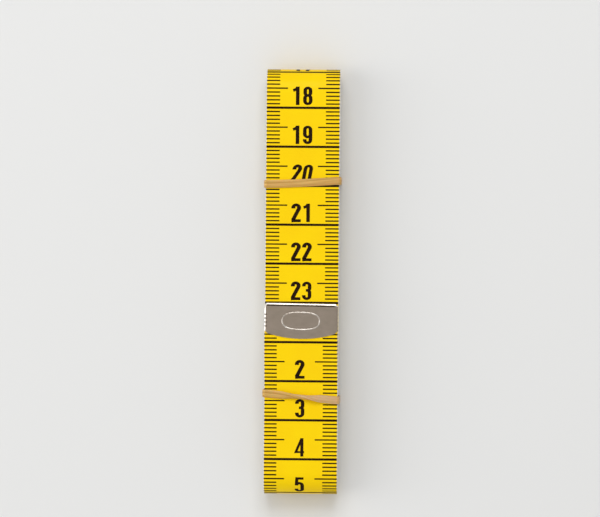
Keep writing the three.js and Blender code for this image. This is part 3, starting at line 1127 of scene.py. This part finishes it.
class TAPE_OT_bands(bpy.types.Operator):
    """Winds the two rubber bands round the bundle, the lower one with a half twist in front"""

    bl_idname = "tape_measure.bands"
    bl_label = "Rubber bands"

    def path(self, band, low, high):
        """The loop of a band as (x, z, outward angle): front to the right, down, back to the left, up."""
        corner_steps = 5
        middle_z = (low.z + high.z) / 2
        half_x = (high.x - low.x - band.thickness) / 2 - band.corner
        half_z = (high.z - low.z - band.thickness) / 2 - band.corner
        points = []
        for quarter, (corner_x, corner_z) in enumerate(((1, 1), (1, -1), (-1, -1), (-1, 1))):
            straight = 2 * (half_x if quarter % 2 == 0 else half_z)
            out = math.pi / 2 * (1 - quarter)
            ahead = out - math.pi / 2
            steps = round(straight / band.step)
            centre = Vector((corner_x * half_x, middle_z + corner_z * half_z))
            rim = centre + band.corner * Vector((math.cos(out), math.sin(out)))
            for step in range(steps):
                back = straight * (1 - step / steps)
                points.append((rim.x - back * math.cos(ahead), rim.y - back * math.sin(ahead), out))
            for step in range(corner_steps):
                look = out - math.pi / 2 * step / corner_steps
                edge = centre + band.corner * Vector((math.cos(look), math.sin(look)))
                points.append((edge.x, edge.y, look))
        return points

    def section(self, band):
        """The section of a band as (across, out) shares of its half sizes: outer face first, then inner."""
        faces = 24
        squareness = 6
        outline = []
        for side in (1, -1):
            for step in range(faces):
                across = 1 - 2 * step / faces
                rounded = math.sqrt(1 - abs(across) ** squareness)
                groove = (1 - math.cos(math.pi * (across + 1) * (band.grooves + 1))) / 2
                deep = 2 * band.groove / band.thickness * groove * rounded
                outline.append((side * across, side * (rounded - deep)))
        return outline

    def twist(self, band, x):
        """How far a band has turned about its own line: half a turn in front, taken back behind."""
        reach = band.twist_length / 2
        return math.pi * smooth_step(band.twist_x - reach, band.twist_x + reach, x)

    def girths(self, band, outline):
        """How far round the section each of its points lies, and the whole girth."""
        result = [0]
        for first, second in zip(outline, outline[1:] + outline[:1]):
            step = ((first[0] - second[0]) * band.width, (first[1] - second[1]) * band.thickness)
            result.append(result[-1] + math.hypot(*step) / 2)
        return result

    def wind(self, band, name, low, high, slant, sag, twisted):
        """A band as a closed loop round the bundle."""
        mesh = bmesh.new()
        flat = mesh.loops.layers.uv.new("band")
        middle_y = (low.y + high.y) / 2
        outline = self.section(band)
        cord = band.bunching * math.sqrt(band.width * band.thickness)
        rows = []
        for x, z, look in self.path(band, low, high):
            twist = self.twist(band, x) if twisted else 0
            on_edge = math.sin(twist) ** 2
            half_width = (band.width + (cord - band.width) * on_edge) / 2
            half_thickness = (band.thickness + (cord - band.thickness) * on_edge) / 2
            extent = abs(half_width * math.sin(twist)) + abs(half_thickness * math.cos(twist))
            in_front = look > 0
            rise = extent - band.thickness / 2 if in_front else 0
            pressed = 1 if in_front else band.thickness / 2 / extent
            out = Vector((math.cos(look), 0, math.sin(look)))
            ahead = Vector((math.sin(look), math.tan(slant) * math.sin(look), -math.cos(look))).normalized()
            aside = out.cross(ahead).normalized()
            up = ahead.cross(aside) * pressed
            dip = sag * (1 - (x / high.x) ** 2) if in_front else 0
            centre = Vector((x, middle_y + math.tan(slant) * x - dip, z)) + out * rise
            wide = aside * math.cos(twist) + up * math.sin(twist)
            thick = up * math.cos(twist) - aside * math.sin(twist)
            rows.append([
                mesh.verts.new(centre + wide * half_width * across + thick * half_thickness * depth)
                for across, depth in outline
            ])
        girths = self.girths(band, outline)
        along = 0
        for index, first in enumerate(rows):
            second = rows[(index + 1) % len(rows)]
            reached = along + (second[0].co - first[0].co).length
            for face, near, far in zip(bridge(mesh, first, second), girths, girths[1:]):
                places = ((near, along), (far, along), (far, reached), (near, reached))
                for corner, place in zip(face.loops, places):
                    corner[flat].uv = place
            along = reached
        return finish_piece(name, mesh)

    def execute(self, context):
        band = context.scene.tape_measure.band
        rubber = rubber_material(band, self.girths(band, self.section(band))[-1])
        upper = ("upper", band.upper_slant, band.upper_sag, False)
        lower = ("lower", band.lower_slant, 0, True)
        for place, *form in (upper, lower):
            node = f"{place}_rubber_band"
            loop = self.wind(band, f"{place}_band_loop", *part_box(node), *form)
            loop.data.materials.append(rubber)
            shade_smooth(loop, BAND_SMOOTH)
            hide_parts(node)
            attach(loop, f"{place}_band")
        return {"FINISHED"}


class TAPE_OT_stage(bpy.types.Operator):
    """Sets the floor, the lamps, the sky and the camera"""

    bl_idname = "tape_measure.stage"
    bl_label = "Stage"

    def add_lamp(self, name, place, target, width, height, power):
        """A soft lamp that looks at the target."""
        bpy.ops.object.light_add(type="AREA", location=place)
        lamp = bpy.context.object
        lamp.name = name
        lamp.data.shape = "RECTANGLE"
        lamp.data.size = width
        lamp.data.size_y = height
        lamp.data.energy = power
        lamp.rotation_euler = (target - place).to_track_quat("-Z", "Y").to_euler()
        return lamp

    def light_sky(self, scene, stage):
        """A sky that brightens from behind the bundle to before it, and a backdrop for the eye and metal."""
        world = bpy.data.worlds.new("studio")
        world.use_nodes = True
        tree = world.node_tree
        way = add_node(tree, "ShaderNodeTexCoord").outputs["Generated"]
        axes = add_node(tree, "ShaderNodeSeparateXYZ", {0: way}).outputs
        ramp = {"Value": axes["Y"], "From Min": -1.0, "To Min": stage.sky_ahead, "To Max": stage.sky_behind}
        light = tree.nodes["Background"]
        light.inputs["Color"].default_value = (1, 1, 1, 1)
        strength = add_node(tree, "ShaderNodeMapRange", ramp).outputs["Result"]
        tree.links.new(strength, light.inputs["Strength"])
        dome = {"Value": axes["Z"], "To Min": stage.backdrop, "To Max": stage.ceiling}
        height = add_node(tree, "ShaderNodeMapRange", dome).outputs["Result"]
        seen = add_node(tree, "ShaderNodeBackground", {"Color": (1, 1, 1, 1), "Strength": height})
        rays = add_node(tree, "ShaderNodeLightPath").outputs
        sight = rays["Is Camera Ray"]
        for kind in ("Is Glossy Ray", "Is Transmission Ray"):
            sight = calculate(tree, "MAXIMUM", sight, rays[kind])
        both = {0: sight, 1: light.outputs["Background"], 2: seen.outputs["Background"]}
        mix = add_node(tree, "ShaderNodeMixShader", both)
        tree.links.new(mix.outputs["Shader"], tree.nodes["World Output"].inputs["Surface"])
        scene.world = world

    def aim_camera(self, scene, stage, target):
        """A camera above the numbered face, a little to the right."""
        bpy.ops.object.camera_add()
        camera = bpy.context.object
        camera.data.lens = stage.lens
        distance = stage.view_width * stage.lens / camera.data.sensor_width
        back = Vector((math.sin(stage.view_side), 0, math.cos(stage.view_side)))
        up = Vector((-math.sin(stage.roll), math.cos(stage.roll), 0))
        right = up.cross(back).normalized()
        axes = Matrix((right, back.cross(right), back)).transposed().to_4x4()
        camera.matrix_world = Matrix.Translation(target + back * distance) @ axes
        scene.camera = camera

    def execute(self, context):
        scene = context.scene
        stage = scene.tape_measure.stage
        deselect_all()
        bpy.ops.mesh.primitive_plane_add(size=stage.floor_side, location=(0, 0, CAD_BOX[0][2]))
        floor = context.object
        floor.name = "floor"
        paint, _, _ = new_material("pale_floor", Base_Color=(*stage.floor, 1), Roughness=0.8)
        floor.data.materials.append(paint)
        target = Vector((stage.view_x, stage.view_y, cloth_high.z))
        wide = stage.lamp_side
        past_top = target + Vector((0, stage.top_out, stage.top_up))
        at_left = target + Vector((-stage.left_out, 0, stage.left_up))
        top = self.add_lamp("top_lamp", past_top, target, wide, wide, stage.top_lamp)
        left = self.add_lamp("left_lamp", at_left, target, wide, stage.left_tall, stage.left_lamp)
        self.light_sky(scene, stage)
        self.aim_camera(scene, stage, target)
        scene.view_settings.view_transform = "Standard"
        deselect_all()
        return {"FINISHED"}


class TAPE_PT_panel(bpy.types.Panel):
    """Settings and steps of the tape measure"""

    bl_idname = "TAPE_PT_panel"
    bl_label = "Tape measure"
    bl_space_type = "VIEW_3D"
    bl_region_type = "UI"
    bl_category = "Tape measure"

    def draw(self, context):
        settings = context.scene.tape_measure
        for group, operator in STEPS:
            box = self.layout.box()
            box.operator(operator.bl_idname)
            part = getattr(settings, group)
            for name in part.__annotations__:
                box.prop(part, name)


STEPS = (
    ("scale", TAPE_OT_print),
    ("cloth", TAPE_OT_cloth),
    ("tip", TAPE_OT_tips),
    ("band", TAPE_OT_bands),
    ("stage", TAPE_OT_stage),
)
CLASSES = (
    ClothSettings,
    PrintSettings,
    TipSettings,
    BandSettings,
    StageSettings,
    TapeMeasureSettings,
    *[operator for _, operator in STEPS],
    TAPE_PT_panel,
)


def register():
    for item in CLASSES:
        bpy.utils.register_class(item)
    bpy.types.Scene.tape_measure = settings_group("Tape measure", TapeMeasureSettings)


def unregister():
    del bpy.types.Scene.tape_measure
    for item in reversed(CLASSES):
        bpy.utils.unregister_class(item)


def main():
    register()
    bpy.ops.tape_measure.print()
    bpy.ops.tape_measure.cloth()
    bpy.ops.tape_measure.tips()
    bpy.ops.tape_measure.bands()
    bpy.ops.tape_measure.stage()


if __name__ == "__main__":
    main()
